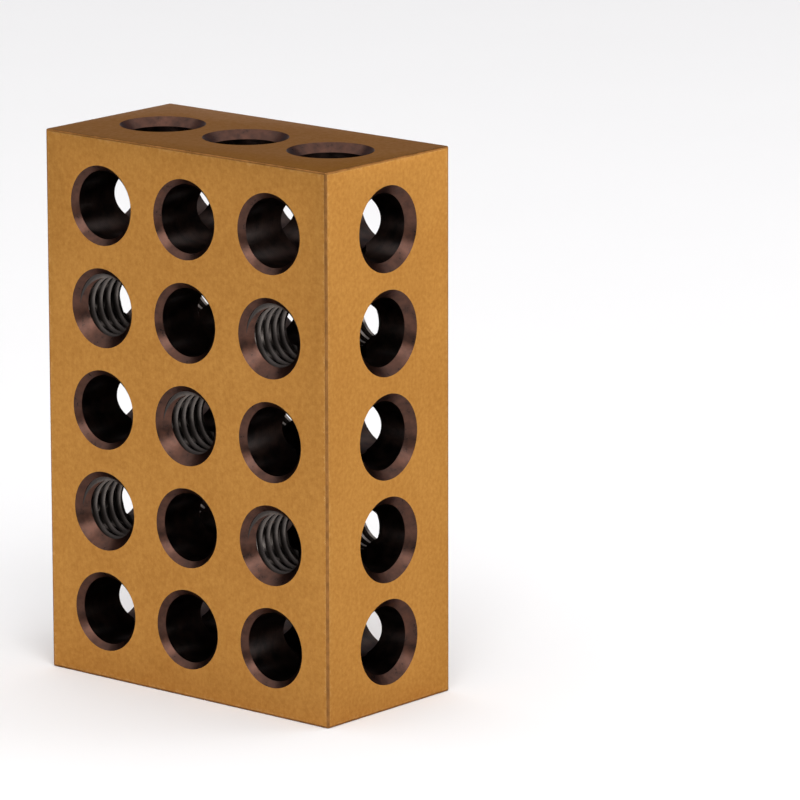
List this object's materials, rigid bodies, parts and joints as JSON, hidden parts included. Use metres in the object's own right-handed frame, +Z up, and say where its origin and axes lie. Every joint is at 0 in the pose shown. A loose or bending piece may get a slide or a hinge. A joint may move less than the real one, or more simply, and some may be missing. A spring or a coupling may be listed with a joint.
{
  "type": "machinist setup block",
  "caption": "Ground rectangular steel setup block, bored through from every face on one grid of crossing countersunk holes, some tapped, for propping, spacing and clamping work.",
  "frame": {"origin": "middle of the end face that the block stands on", "axes": "+Z up along the 3 in height, X along the 2 in width, Y along the 1 in thickness; -Y is the broad face seen from the front"},
  "size_m": [0.0508, 0.0254, 0.0762],
  "materials": {
    "coated_steel": "ground hardened tool steel with a satin gold hard coating"
  },
  "bodies": {
    "root": {"setup_block": "coated_steel"}
  },
  "joints": []
}
